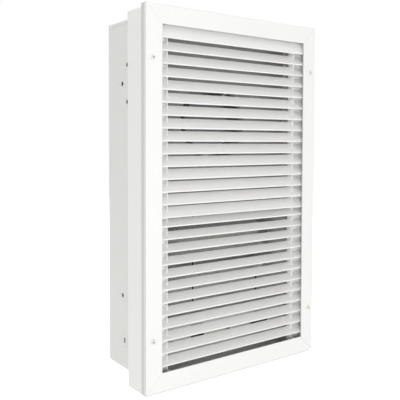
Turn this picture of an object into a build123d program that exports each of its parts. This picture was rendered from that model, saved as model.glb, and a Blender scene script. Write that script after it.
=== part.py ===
from build123d import *
import math
import os

# Electric wall heater, fan forced, for a recess in a wall.
# Millimetres. X runs to the right seen from the room, Y into the wall, Z up.
# The origin is the middle of the back of the wall box, between its four fixing holes.

# Envelope
overall_depth = 140.0
recess_depth = 83.0
frame_width = 346.0
frame_height = 572.0
frame_border = 28.0

# Front frame: four mitred rails joined by corner keys
frame_plate = 2.0
frame_flange_depth = 13.0
frame_flange_sheet = 1.6
frame_edge_radius = 1.0
key_thickness = 1.5
key_leg = 36.0
key_edge_gap = 1.0

# Louvre blades, held in two cores by slotted end plates
blade_pitch = 19.05
upper_blade_count = 15
last_lip_margin = 6.0
first_lip_drop = 18.0
core_step = 13.7
first_blade_run = 7.5
first_blade_overlap = 2.5
upper_blade_run = 12.5
upper_blade_rise = 14.0
lower_blade_run = 12.8
lower_blade_rise = 9.0
blade_sheet = 1.2
blade_lip_height = 2.0
blade_edge_radius = 0.35
blade_setback = 3.8
blade_overlap = 8.0
end_plate_inset = 15.0
end_plate_setback = 6.2
end_plate_depth = 11.5
end_plate_sheet = 1.5
end_plate_overlap = 6.0
end_wing_gap = 0.2
end_wing_side_gap = 1.0
slot_clearance = 0.15

# Sleeve between the frame and the wall
sleeve_sheet = 1.2
sleeve_side_inset = 2.0
sleeve_top_inset = 4.5
sleeve_drop = 3.5
sleeve_front_flange = 17.0
sleeve_rear_gap = 1.0

# Wall box
box_sheet = 1.2
box_side_inset = 13.0
box_end_inset = 12.0
box_rear_flange = 10.0
box_flange_gap = 0.6
box_bend_radius = 4.0
box_bottom_upturn = 12.0
lap_sheet = 1.2
lap_width = 4.0
lap_front_gap = 1.2
lap_rear_gap = 5.0
back_fixing_width = 240.0
back_fixing_height = 380.0
back_fixing_radius = 3.25
side_fixing_from_top = 97.0
side_fixing_from_bottom = 115.5
side_fixing_from_wall = 37.5
side_fixing_radius = 3.7
deck_hole_spacing = 57.5
deck_hole_from_wall = 22.0
deck_hole_radius = 3.4
knockout_radius = 11.1
knockout_from_bottom = 44.6
knockout_from_wall = 33.0
knockout_score_width = 0.8
knockout_score_depth = 0.5
pry_slot_height = 9.0
pry_slot_width = 4.6
pry_slot_shift = 1.6

# Fan deck, which also turns forward as the divider between the two cores
deck_recess = 9.0
deck_sheet = 1.2
deck_flange = 16.0
deck_side_gap = 0.1
divider_grille_gap = 0.6
divider_side_gap = 4.0
nozzle_radius = 66.0
nozzle_sheet = 1.2
nozzle_depth = 14.0
nozzle_lip_radius = 4.0

# Fan and motor
fan_from_top = 154.0
wheel_radius = 95.0
wheel_sheet = 1.5
wheel_eye_clearance = 2.8
wheel_nozzle_overlap = 2.0
wheel_shroud_rise = 9.0
wheel_rear_gap = 21.8
wheel_collar_depth = 8.0
wheel_collar_sheet = 2.0
wheel_hub_gap = 0.05
vane_count = 9
vane_inner_radius = 54.0
vane_curve_radius = 60.0
vane_curve_centre = 70.0
vane_tip_inset = 1.5
rotor_radius = 46.0
rotor_wall = 3.0
rotor_rear_gap = 14.8
rotor_front_gap = 10.0
rotor_dome_radius = 2.5
shaft_radius = 4.0
shaft_fit = 0.03
shaft_end_gap = 1.5
stator_flange_radius = 40.0
stator_flange_depth = 4.0
stator_tube_radius = 11.0
stator_air_gap = 0.6
stack_rear_inset = 3.5
coil_radius = 36.0
coil_depth = 4.0
coil_rotor_gap = 3.5
bearing_radius = 7.0
bearing_length = 6.0
bearing_fit = 0.02
bearing_edge = 1.5
motor_screw_pitch_radius = 32.0

# Heating elements: finned rods across the outlet
element_pitch = 35.0
element_from_joint = 43.0
element_panel_margin = 60.0
element_from_back = 40.0
element_radius = 5.5
element_pin_radius = 2.0
element_pin_length = 9.0
element_end_overhang = 6.0
fin_radius = 14.0
fin_sheet = 0.8
fin_pitch = 6.0
fin_count = 41
bracket_inset = 20.0
bracket_sheet = 1.5
bracket_depth = 40.0
bracket_margin = 10.5
element_hole_clearance = 0.15

# Control panel and its parts
control_height = 70.0
control_sheet = 1.2
control_flange = 16.0
control_axis_height = 38.0
control_shelf_gap = 0.3
thermostat_from_side = 64.0
thermostat_body_width = 44.0
thermostat_body_height = 36.0
thermostat_body_depth = 24.0
thermostat_bore_depth = 12.0
thermostat_stem_radius = 3.0
stem_clearance = 0.06
knob_radius = 16.0
knob_depth = 13.0
knob_gap = 0.5
knob_flute_count = 12
knob_flute_radius = 2.2
knob_pointer_width = 2.0
knob_pointer_depth = 0.8
panel_hole_clearance = 0.4
cutout_x = 30.0
cutout_radius = 10.0
cutout_depth = 18.0
cutout_ear_width = 34.0
cutout_ear_height = 12.0
cutout_ear_sheet = 1.5
button_radius = 3.5
button_stand = 4.5
button_travel = 2.0
button_length = 12.0
button_clearance = 0.06
button_tip_radius = 0.8
switch_x = -34.0
switch_bezel_width = 25.0
switch_bezel_height = 32.0
switch_bezel_depth = 2.0
switch_body_width = 21.0
switch_body_height = 28.0
switch_body_depth = 26.0
switch_well_width = 16.6
switch_well_height = 24.0
switch_well_depth = 12.0
switch_pin_radius = 1.5
switch_pin_clearance = 0.05
switch_pin_reach = 1.2
switch_pivot_depth = 5.0
rocker_side_gap = 0.3
rocker_end_gap = 1.4
rocker_keel_depth = 4.5
rocker_tilt = 8.0
rocker_stand = 1.8
terminal_from_side = 64.0
terminal_width = 62.0
terminal_height = 24.0
terminal_depth = 18.0
terminal_ways = 3
terminal_well_radius = 4.0
terminal_well_depth = 4.0
terminal_fence_sheet = 1.6
terminal_fence_depth = 5.0

# Cable clamp in the bottom of the box
clamp_from_side = 42.0
clamp_from_back = 34.0
clamp_thread_radius = 10.9
clamp_bore_radius = 7.0
clamp_collar_radius = 14.0
clamp_collar_depth = 10.0
clamp_nut_depth = 3.5
clamp_nut_flats = 28.0
clamp_thread_above_nut = 2.0

# Pan head screws
screw_radius = 2.0
screw_hole_radius = 2.25
screw_tap_clearance = 0.05
screw_head_radius = 4.0
screw_head_depth = 2.4
screw_head_dome = 1.1
grille_screw_length = 8.0
screw_drive_width = 1.0
screw_drive_length = 4.6
screw_drive_depth = 1.2
grille_screw_from_side = 12.0
grille_screw_from_end = 78.0
flange_screw_from_end = 124.0
cover_screw_from_side = 70.0
cover_screw_setback = 9.0

# Wiring
wire_radius = 1.3
wire_bend_radius = 9.0
wire_row = 6.0
wire_front_lane = 34.0
wire_rear_lane = 12.0
wire_hole_radius = 3.0
switch_tab = 4.0
thermostat_tab = 12.0

# Planes and half sizes that the pieces share
front_y = -overall_depth
wall_y = -recess_depth
frame_back_y = front_y + frame_plate
sleeve_front_y = frame_back_y + key_thickness
frame_half_x = frame_width / 2
frame_half_z = frame_height / 2
opening_half_x = frame_half_x - frame_border
opening_half_z = frame_half_z - frame_border
sleeve_half_x = frame_half_x - sleeve_side_inset
sleeve_top_z = frame_half_z - sleeve_top_inset
sleeve_bottom_z = -frame_half_z - sleeve_drop
box_half_x = frame_half_x - box_side_inset
box_half_z = frame_half_z - box_end_inset
box_inner_x = box_half_x - box_sheet
box_inner_z = box_half_z - box_sheet
box_inner_y = -box_sheet
box_flange_y = wall_y - sleeve_sheet - box_sheet
side_fixing_upper_z = box_half_z - side_fixing_from_top
side_fixing_lower_z = -box_half_z + side_fixing_from_bottom
knockout_z = -box_half_z + knockout_from_bottom
grille_screw_x = frame_half_x - grille_screw_from_side
grille_screw_z = frame_half_z - grille_screw_from_end
flange_screw_z = box_half_z - flange_screw_from_end
cover_screw_x = box_half_x - cover_screw_from_side
deck_y = wall_y + deck_recess
deck_back_y = deck_y + deck_sheet
deck_hole_y = wall_y + deck_hole_from_wall
lip_front_y = front_y + blade_setback
blade_half_x = opening_half_x + blade_overlap
end_plate_x = opening_half_x - end_plate_inset
end_plate_front_y = lip_front_y + end_plate_setback
end_plate_back_y = end_plate_front_y + end_plate_depth
end_wing_y = lip_front_y + max(upper_blade_run, lower_blade_run) + end_wing_gap
end_wing_x = sleeve_half_x - sleeve_sheet - end_wing_side_gap
first_lip_z = opening_half_z - first_lip_drop
first_blade_rise = first_lip_drop + first_blade_overlap - blade_lip_height / 2
last_upper_lip_z = first_lip_z - (upper_blade_count - 1) * blade_pitch
first_lower_lip_z = last_upper_lip_z - core_step
first_lower_top_z = first_lower_lip_z + blade_lip_height / 2 + lower_blade_rise
lower_blade_room = first_lower_lip_z + opening_half_z - last_lip_margin
lower_blade_count = int(lower_blade_room / blade_pitch) + 1
core_joint_z = (last_upper_lip_z - blade_lip_height / 2 + first_lower_top_z) / 2
nozzle_back_y = deck_y + nozzle_depth
fan_z = box_half_z - fan_from_top
wheel_eye_radius = nozzle_radius + nozzle_sheet + wheel_eye_clearance
wheel_front_y = nozzle_back_y - wheel_nozzle_overlap
wheel_back_y = box_inner_y - wheel_rear_gap
rotor_front_y = wheel_front_y + rotor_front_gap
rotor_back_y = box_inner_y - rotor_rear_gap
stator_flange_y = box_inner_y - stator_flange_depth
coil_front_y = rotor_front_y + rotor_wall + coil_rotor_gap
stack_front_y = coil_front_y + coil_depth
stack_back_y = rotor_back_y - stack_rear_inset
shaft_end_y = stator_flange_y - shaft_end_gap
element_y = -element_from_back
element_top_z = core_joint_z - element_from_joint
bracket_x = box_inner_x - bracket_inset
element_end_x = bracket_x + bracket_sheet / 2 + element_end_overhang
element_pin_x = element_end_x + element_pin_length / 2
control_y = deck_y
control_top_z = -box_half_z + control_height
control_z = -box_half_z + control_axis_height
element_room = element_top_z - element_panel_margin - control_top_z
element_count = int(element_room / element_pitch) + 1
thermostat_x = box_half_x - thermostat_from_side
terminal_x = -box_half_x + terminal_from_side
control_back_y = control_y + control_sheet
pivot_y = control_y - switch_bezel_depth + switch_pivot_depth
switch_back_y = control_y + switch_body_depth
thermostat_back_y = control_back_y + thermostat_body_depth
cutout_back_y = control_back_y + cutout_depth
terminal_front_y = box_inner_y - terminal_depth
clamp_x = box_half_x - clamp_from_side
clamp_y = -clamp_from_back
wire_front_y = -wire_front_lane
wire_rear_y = -wire_rear_lane


def block(x, y, z):
    """Box between the low and high values of three pairs."""
    spans = (x, y, z)
    sizes = [high - low for low, high in spans]
    middles = [(low + high) / 2 for low, high in spans]
    return Pos(*middles) * Box(*sizes)


def rod_x(y, z, radius, low, high):
    """Cylinder along X."""
    return Pos((low + high) / 2, y, z) * Rot(0, 90, 0) * Cylinder(radius, high - low)


def rod_y(x, z, radius, low, high):
    """Cylinder along Y."""
    return Pos(x, (low + high) / 2, z) * Rot(90, 0, 0) * Cylinder(radius, high - low)


def rod_z(x, y, radius, low, high):
    """Cylinder along Z."""
    return Pos(x, y, (low + high) / 2) * Cylinder(radius, high - low)


def prism_x(section, low, high):
    """Section drawn as (Y, Z), carried along X."""
    plane = Plane(origin=(low, 0, 0), x_dir=(0, 1, 0), z_dir=(1, 0, 0))
    return extrude(plane * section, amount=high - low, dir=(1, 0, 0))


def prism_y(section, low, high):
    """Section drawn as (X, Z), carried along Y."""
    plane = Plane(origin=(0, high, 0), x_dir=(1, 0, 0), z_dir=(0, -1, 0))
    return extrude(plane * section, amount=high - low, dir=(0, -1, 0))


def spun(points, x, z):
    """Closed outline of (radius, Y) points turned about a Y axis through x, z."""
    outline = Plane(origin=(x, 0, z), x_dir=(1, 0, 0), z_dir=(0, 0, 1)) * polygon(points)
    return revolve(outline, axis=Axis((x, 0, z), (0, 1, 0)), revolution_arc=360)


def polygon(points):
    """Flat face with straight sides through the points."""
    return make_face(Polyline(*points, close=True))


def mirror_x(shape):
    """The same piece on the other side of the heater."""
    return mirror(shape, about=Plane.YZ)


# Front frame


def frame_ring():
    """The four rails as one ring, before the mitres are cut."""
    face = block((-frame_half_x, frame_half_x), (front_y, frame_back_y), (-frame_half_z, frame_half_z))
    flange_y = (front_y, front_y + frame_flange_depth)
    inner_x = frame_half_x - frame_flange_sheet
    inner_z = frame_half_z - frame_flange_sheet
    flange = block((-frame_half_x, frame_half_x), flange_y, (-frame_half_z, frame_half_z))
    flange -= block((-inner_x, inner_x), flange_y, (-inner_z, inner_z))
    tucked = block((-inner_x, inner_x), (sleeve_front_y, flange_y[1]), (-frame_half_z, -inner_z))
    ring = face + (flange - tucked)
    ring = fillet(ring.faces().sort_by(Axis.Y)[0].outer_wire().edges(), frame_edge_radius)
    opening_y = (front_y, frame_back_y)
    ring -= block((-opening_half_x, opening_half_x), opening_y, (-opening_half_z, opening_half_z))
    for x in (-grille_screw_x, grille_screw_x):
        for z in (-grille_screw_z, grille_screw_z):
            ring -= rod_y(x, z, screw_hole_radius, front_y, frame_back_y)
    return ring


def mitre(side):
    """The wedge of the ring that one rail fills, with 45 degree ends."""
    outer_x, outer_z = frame_half_x, frame_half_z
    inner_x, inner_z = opening_half_x, opening_half_z
    corners = {
        "top": [(-outer_x, outer_z), (outer_x, outer_z), (inner_x, inner_z), (-inner_x, inner_z)],
        "bottom": [(-outer_x, -outer_z), (outer_x, -outer_z), (inner_x, -inner_z), (-inner_x, -inner_z)],
        "left": [(-outer_x, -outer_z), (-outer_x, outer_z), (-inner_x, inner_z), (-inner_x, -inner_z)],
        "right": [(outer_x, -outer_z), (outer_x, outer_z), (inner_x, inner_z), (inner_x, -inner_z)],
    }
    return prism_y(polygon(corners[side]), front_y, front_y + frame_flange_depth)


def corner_key():
    """Flat angle behind the top right mitre, hidden by the border."""
    right = frame_half_x - frame_flange_sheet - key_edge_gap
    top = frame_half_z - frame_flange_sheet - key_edge_gap
    inner_x = opening_half_x + key_edge_gap
    inner_z = opening_half_z + key_edge_gap
    left = right - key_leg
    bottom = top - key_leg
    outline = [
        (left, top),
        (right, top),
        (right, bottom),
        (inner_x, bottom),
        (inner_x, inner_z),
        (left, inner_z),
    ]
    return prism_y(polygon(outline), frame_back_y, sleeve_front_y)


def corner_keys():
    """One key in each corner of the frame."""
    right_top = corner_key()
    right_bottom = mirror(right_top, about=Plane.XY)
    return [right_top, right_bottom, mirror_x(right_top), mirror_x(right_bottom)]


# Louvre cores


def blade_section(run, rise, lip_z):
    """Bent blade: a short upright lip in front and a web that climbs towards the back."""
    low = lip_z - blade_lip_height / 2
    high = lip_z + blade_lip_height / 2
    slope = rise / run
    web = blade_sheet * math.hypot(1, slope)
    back_y = lip_front_y + run
    lip_back_y = lip_front_y + blade_sheet
    return polygon([
        (lip_front_y, low),
        (lip_back_y, low),
        (lip_back_y, high + slope * blade_sheet - web),
        (back_y, high + rise - web),
        (back_y, high + rise),
        (lip_front_y, high),
    ])


def blades():
    """Section of every blade under its name, from the top down; the first is steep and closes the top gap."""
    sections = {}
    for index in range(upper_blade_count):
        run = upper_blade_run if index else first_blade_run
        rise = upper_blade_rise if index else first_blade_rise
        lip_z = first_lip_z - index * blade_pitch
        sections[f"upper_blade_{index + 1:02d}"] = blade_section(run, rise, lip_z)
    for index in range(lower_blade_count):
        lip_z = first_lower_lip_z - index * blade_pitch
        sections[f"lower_blade_{index + 1:02d}"] = blade_section(lower_blade_run, lower_blade_rise, lip_z)
    return sections


def blade(section):
    """One blade, run past the opening so that the border hides its ends."""
    front_corners = section.vertices().group_by(Axis.X)[0]
    rounded = fillet(front_corners, blade_edge_radius)
    return prism_x(rounded, -blade_half_x, blade_half_x)


def end_plate(sections, low, high, tab_low, tab_high):
    """Right-hand angle: a leg slotted for the blades, a tab on the border, a wing behind the ends."""
    x = (end_plate_x - end_plate_sheet / 2, end_plate_x + end_plate_sheet / 2)
    plate = block(x, (end_plate_front_y, end_plate_back_y), (low, high))
    plate += block(x, (frame_back_y, end_plate_back_y), (tab_low, tab_high))
    for section in sections:
        slot = offset(section, amount=slot_clearance, kind=Kind.INTERSECTION)
        plate -= prism_x(slot, *x)
    wing_y = (end_wing_y, end_wing_y + end_plate_sheet)
    return plate + block((end_plate_x, end_wing_x), wing_y, (low, high))


def end_plates(sections):
    """Two plates for each core."""
    edge = opening_half_z + end_plate_overlap
    upper = [shape for name, shape in sections.items() if name.startswith("upper")]
    lower = [shape for name, shape in sections.items() if name.startswith("lower")]
    right = [
        end_plate(upper, core_joint_z, edge, opening_half_z, edge),
        end_plate(lower, -edge, core_joint_z, -edge, -opening_half_z),
    ]
    return right + [mirror_x(plate) for plate in right]


# Sleeve


def sleeve_side():
    """Right wall of the sleeve, with the flange that the frame screws to and the wall flange."""
    outer, inner = sleeve_half_x, sleeve_half_x - sleeve_sheet
    z = (sleeve_bottom_z, sleeve_top_z)
    side = block((inner, outer), (sleeve_front_y, wall_y), z)
    front = (sleeve_front_y, sleeve_front_y + sleeve_sheet)
    front_z = (sleeve_bottom_z + sleeve_front_flange, sleeve_top_z - sleeve_front_flange)
    side += block((outer - sleeve_front_flange, outer), front, front_z)
    rear_z = (sleeve_bottom_z + sleeve_sheet, sleeve_top_z - sleeve_sheet)
    side += block((box_half_x + sleeve_rear_gap, outer), (wall_y - sleeve_sheet, wall_y), rear_z)
    for screw_z in (-grille_screw_z, grille_screw_z):
        side -= rod_y(grille_screw_x, screw_z, screw_radius + screw_tap_clearance, *front)
    for screw_z in (-flange_screw_z, flange_screw_z):
        side -= rod_y(flange_screw_x(), screw_z, screw_radius + screw_tap_clearance, box_flange_y, wall_y)
    return side


def sleeve_end(outer, toward_middle):
    """Top or bottom wall of the sleeve, fitted between the two sides."""
    x = sleeve_half_x - sleeve_sheet
    inner = outer + toward_middle * sleeve_sheet
    lip = outer + toward_middle * sleeve_front_flange
    rear_lip = math.copysign(box_half_z + sleeve_rear_gap, outer)
    end = block((-x, x), (sleeve_front_y, wall_y), sorted((outer, inner)))
    end += block((-x, x), (sleeve_front_y, sleeve_front_y + sleeve_sheet), sorted((outer, lip)))
    rear_x = box_half_x + sleeve_rear_gap
    end += block((-rear_x, rear_x), (wall_y - sleeve_sheet, wall_y), sorted((outer, rear_lip)))
    return end


# Wall box


def flange_screw_x():
    """Middle of the strip where the box flange lies on the wall flange of the sleeve."""
    return (box_half_x + sleeve_half_x - sleeve_sheet) / 2


def box_side():
    """Right wall of the box, with its front and rear flanges and the rounded lower back corner."""
    z = (-box_inner_z, box_inner_z)
    flange_x = sleeve_half_x - sleeve_sheet - box_flange_gap
    side = block((box_inner_x, box_half_x), (box_flange_y, box_inner_y), z)
    side += block((box_inner_x, flange_x), (box_flange_y, box_flange_y + box_sheet), z)
    rear_z = (-box_inner_z + box_bottom_upturn, box_inner_z)
    rear_y = (box_inner_y - box_sheet, box_inner_y)
    side += block((box_inner_x - box_rear_flange, box_half_x), rear_y, rear_z)
    corner = box_bend_radius - box_sheet
    bend_z = -box_half_z + box_bend_radius
    square = block((box_inner_x, box_half_x), (-box_bend_radius, 0), (-box_half_z, bend_z))
    round_end = rod_x(-box_bend_radius, bend_z, corner, box_inner_x, box_half_x)
    side -= square - round_end
    for screw_z in (-flange_screw_z, flange_screw_z):
        side -= rod_y(flange_screw_x(), screw_z, screw_hole_radius, box_flange_y, box_flange_y + box_sheet)
    for hole_z in (side_fixing_lower_z, side_fixing_upper_z):
        y = wall_y + side_fixing_from_wall
        side -= rod_x(y, hole_z, side_fixing_radius, box_inner_x, box_half_x)
    for z in deck_hole_heights():
        side -= rod_x(deck_hole_y, z, deck_hole_radius, box_inner_x, box_half_x)
    return side - knockout()


def deck_hole_heights():
    """The two holes through which the deck can be screwed from the side."""
    return [side_fixing_upper_z + step * deck_hole_spacing / 2 for step in (-1, 1)]


def knockout():
    """Scored circle and pry slot of the cable knockout, cut out of the right wall."""
    y = wall_y + knockout_from_wall
    depth = (box_half_x - knockout_score_depth, box_half_x)
    groove = rod_x(y, knockout_z, knockout_radius, *depth)
    groove -= rod_x(y, knockout_z, knockout_radius - knockout_score_width, *depth)
    slot_y = (y - pry_slot_shift - pry_slot_width / 2, y - pry_slot_shift + pry_slot_width / 2)
    slot_z = (knockout_z - pry_slot_height / 2, knockout_z + pry_slot_height / 2)
    slot = block((box_inner_x, box_half_x), slot_y, slot_z)
    return groove + fillet(slot.edges().filter_by(Axis.X), pry_slot_width * 0.45)


def box_top():
    """Top of the box, whose edges lap down over the outside of the two sides."""
    x = box_half_x
    flange_z = sleeve_top_z - sleeve_sheet - box_flange_gap
    front_y_pair = (box_flange_y, box_flange_y + box_sheet)
    lap_y = (wall_y + lap_front_gap, -lap_rear_gap)
    top = block((-x, x), (box_flange_y, box_inner_y), (box_inner_z, box_half_z))
    top += block((-x, x), front_y_pair, (box_inner_z, flange_z))
    rear_x = box_inner_x - box_rear_flange
    top += block((-rear_x, rear_x), (box_inner_y - box_sheet, box_inner_y),
                 (box_half_z - box_rear_flange, box_half_z))
    top += block((-x - lap_sheet, x + lap_sheet), lap_y, (box_inner_z, box_half_z))
    for side in (-1, 1):
        lap_x = sorted((side * x, side * (x + lap_sheet)))
        top += block(lap_x, lap_y, (box_half_z - lap_width, box_half_z))
    for screw_x in (-cover_screw_x, cover_screw_x):
        y = deck_back_y + cover_screw_setback
        top -= rod_z(screw_x, y, screw_radius + screw_tap_clearance, box_inner_z, box_half_z)
    return top


def box_bottom():
    """Bottom of the box, bent up in a curve at the back."""
    flange_z = sleeve_bottom_z + sleeve_sheet + box_flange_gap
    ring = Circle(box_bend_radius) - Circle(box_bend_radius - box_sheet)
    bend = Pos(-box_bend_radius, -box_half_z + box_bend_radius) * ring
    square = Rectangle(box_bend_radius, box_bend_radius)
    quarter = Pos(-box_bend_radius / 2, -box_half_z + box_bend_radius / 2) * square
    bottom = prism_x(bend & quarter, -box_half_x, box_half_x)
    flat_y = (box_flange_y, -box_bend_radius)
    bottom += block((-box_half_x, box_half_x), flat_y, (-box_half_z, -box_inner_z))
    front_y_pair = (box_flange_y, box_flange_y + box_sheet)
    bottom += block((-box_half_x, box_half_x), front_y_pair, (flange_z, -box_inner_z))
    upturn_z = (-box_half_z + box_bend_radius, -box_half_z + box_bottom_upturn)
    bottom += block((-box_half_x, box_half_x), (box_inner_y, 0), upturn_z)
    bottom -= rod_z(clamp_x, clamp_y, knockout_radius, -box_half_z, -box_inner_z)
    for screw_x in (-cover_screw_x, cover_screw_x):
        y = control_back_y + cover_screw_setback
        bottom -= rod_z(screw_x, y, screw_radius + screw_tap_clearance, -box_half_z, -box_inner_z)
    return bottom


def box_back():
    """Flat back of the box, with four fixing holes and the motor's screw holes."""
    z = (-box_half_z + box_bottom_upturn, box_half_z)
    back = block((-box_half_x, box_half_x), (box_inner_y, 0), z)
    for x in (-back_fixing_width / 2, back_fixing_width / 2):
        for hole_z in (-back_fixing_height / 2, back_fixing_height / 2):
            back -= rod_y(x, hole_z, back_fixing_radius, box_inner_y, 0)
    for x, hole_z in motor_screw_places():
        back -= rod_y(x, hole_z, screw_radius + screw_tap_clearance, box_inner_y, 0)
    return back


# Fan deck


def fan_deck():
    """Black deck with the inlet nozzle, side and top flanges, and the forward divider."""
    half_x = box_inner_x - deck_side_gap
    top_z = box_inner_z - deck_side_gap
    bottom_z = core_joint_z
    back_flange_y = (deck_y, deck_y + deck_flange)
    deck = block((-half_x, half_x), (deck_y, deck_back_y), (bottom_z, top_z))
    for side in (-1, 1):
        flange_x = sorted((side * half_x, side * (half_x - deck_sheet)))
        deck += block(flange_x, back_flange_y, (bottom_z, top_z))
    deck += block((-half_x, half_x), back_flange_y, (top_z - deck_sheet, top_z))
    divider_x = half_x - divider_side_gap
    divider_y = (end_plate_back_y + divider_grille_gap, deck_back_y)
    deck += block((-divider_x, divider_x), divider_y, (bottom_z, bottom_z + deck_sheet))
    mouth_radius = nozzle_radius + nozzle_sheet + nozzle_lip_radius
    deck -= rod_y(0, fan_z, mouth_radius, deck_y, deck_back_y)
    deck += nozzle(mouth_radius)
    for screw_x in (-cover_screw_x, cover_screw_x):
        y = deck_back_y + cover_screw_setback
        deck -= rod_z(screw_x, y, screw_hole_radius, top_z - deck_sheet, top_z)
    for z in deck_hole_heights():
        deck -= rod_x(deck_hole_y, z, deck_hole_radius, -half_x, -half_x + deck_sheet)
        deck -= rod_x(deck_hole_y, z, deck_hole_radius, half_x - deck_sheet, half_x)
    return deck


def nozzle(mouth_radius):
    """Inlet nozzle: a flared mouth in the deck and a straight throat behind it."""
    outer = nozzle_radius + nozzle_sheet
    return spun([
        (mouth_radius, deck_y),
        (mouth_radius, deck_back_y),
        (outer, deck_back_y + nozzle_lip_radius),
        (outer, nozzle_back_y),
        (nozzle_radius, nozzle_back_y),
        (nozzle_radius, deck_y + nozzle_lip_radius),
        (mouth_radius - nozzle_sheet, deck_y),
    ], 0, fan_z)


# Fan and motor


def motor_screw_places():
    """Centres of the four screws that hold the motor flange."""
    reach = motor_screw_pitch_radius * math.sqrt(0.5)
    return [(x, fan_z + z) for x in (-reach, reach) for z in (-reach, reach)]


def motor_stator():
    """Fixed middle of the motor: flange, bearing tube, lamination stack and coil heads."""
    stator = rod_y(0, fan_z, stator_flange_radius, stator_flange_y, box_inner_y)
    stator += rod_y(0, fan_z, stator_tube_radius, coil_front_y, stator_flange_y)
    stack_radius = rotor_radius - rotor_wall - stator_air_gap
    stator += rod_y(0, fan_z, stack_radius, stack_front_y, stack_back_y)
    stator += rod_y(0, fan_z, coil_radius, coil_front_y, stack_back_y + coil_depth)
    stator -= rod_y(0, fan_z, bearing_radius, coil_front_y, box_inner_y)
    for x, z in motor_screw_places():
        stator -= rod_y(x, z, screw_hole_radius, stator_flange_y, box_inner_y)
    return stator


def motor_bearings():
    """Two plain bearings in the ends of the stator tube."""
    starts = (coil_front_y + bearing_edge, stator_flange_y - bearing_edge - bearing_length)
    bearings = []
    for start in starts:
        end = start + bearing_length
        bush = rod_y(0, fan_z, bearing_radius - bearing_fit, start, end)
        bearings.append(bush - rod_y(0, fan_z, shaft_radius + shaft_fit, start, end))
    return bearings


def motor_rotor():
    """Turning can of the motor, closed in front, with the shaft pressed into it."""
    can = rod_y(0, fan_z, rotor_radius, rotor_front_y, rotor_back_y)
    front_edges = can.edges().filter_by(GeomType.CIRCLE).sort_by(Axis.Y)[0]
    can = fillet(front_edges, rotor_dome_radius)
    can -= rod_y(0, fan_z, rotor_radius - rotor_wall, rotor_front_y + rotor_wall, rotor_back_y)
    return can + rod_y(0, fan_z, shaft_radius, rotor_front_y + rotor_wall, shaft_end_y)


def vane_section():
    """One backward-curved vane: the part of a thin ring between two radii."""
    ring = Circle(vane_curve_radius + wheel_sheet / 2) - Circle(vane_curve_radius - wheel_sheet / 2)
    band = Circle(wheel_radius - vane_tip_inset) - Circle(vane_inner_radius)
    upper_half = Pos(0, wheel_radius) * Rectangle(4 * wheel_radius, 2 * wheel_radius)
    return (Pos(vane_curve_centre, 0) * ring) & band & upper_half


def fan_wheel():
    """Radial wheel: back disc with a collar on the motor can, vanes and a front shroud."""
    collar_inner = rotor_radius + wheel_hub_gap
    collar_outer = collar_inner + wheel_collar_sheet
    disc_front_y = wheel_back_y - wheel_sheet
    shroud_rim_y = wheel_front_y + wheel_shroud_rise
    wheel = spun([
        (collar_inner, wheel_back_y - wheel_collar_depth),
        (collar_outer, wheel_back_y - wheel_collar_depth),
        (collar_outer, disc_front_y),
        (wheel_radius, disc_front_y),
        (wheel_radius, wheel_back_y),
        (collar_inner, wheel_back_y),
    ], 0, fan_z)
    vane = prism_y(vane_section(), wheel_front_y, disc_front_y)
    ahead = spun([
        (0, wheel_front_y),
        (0, shroud_rim_y),
        (vane_inner_radius, shroud_rim_y),
        (wheel_eye_radius, wheel_front_y + wheel_sheet),
        (wheel_radius, shroud_rim_y + wheel_sheet),
        (wheel_radius, wheel_front_y),
    ], 0, 0)
    vane -= ahead
    for index in range(vane_count):
        wheel += Pos(0, 0, fan_z) * Rot(0, index * 360 / vane_count, 0) * vane
    wheel += spun([
        (wheel_eye_radius, wheel_front_y),
        (wheel_radius, shroud_rim_y),
        (wheel_radius, shroud_rim_y + wheel_sheet),
        (wheel_eye_radius, wheel_front_y + wheel_sheet),
    ], 0, fan_z)
    return wheel


# Heating elements


def element_places():
    """Height of each rod."""
    return [element_top_z - index * element_pitch for index in range(element_count)]


def heating_element(z):
    """Sheathed rod with pressed fins and a terminal pin at each end."""
    pin_end = element_end_x + element_pin_length
    element = rod_x(element_y, z, element_radius, -element_end_x, element_end_x)
    first = -(fin_count - 1) * fin_pitch / 2
    for index in range(fin_count):
        x = first + index * fin_pitch
        element += rod_x(element_y, z, fin_radius, x - fin_sheet / 2, x + fin_sheet / 2)
    return element + rod_x(element_y, z, element_pin_radius, -pin_end, pin_end)


def element_bracket():
    """Right-hand channel that the rods pass through, standing off the side of the box."""
    x = (bracket_x - bracket_sheet / 2, bracket_x + bracket_sheet / 2)
    y = (element_y - bracket_depth / 2, element_y + bracket_depth / 2)
    places = element_places()
    z = (places[-1] - bracket_margin, places[0] + bracket_margin)
    bracket = block(x, y, z)
    bracket += block((x[0], box_inner_x), y, (z[0], z[0] + bracket_sheet))
    bracket += block((x[0], box_inner_x), y, (z[1] - bracket_sheet, z[1]))
    for place in places:
        bracket -= rod_x(element_y, place, element_radius + element_hole_clearance, *x)
    return bracket


# Controls


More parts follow.
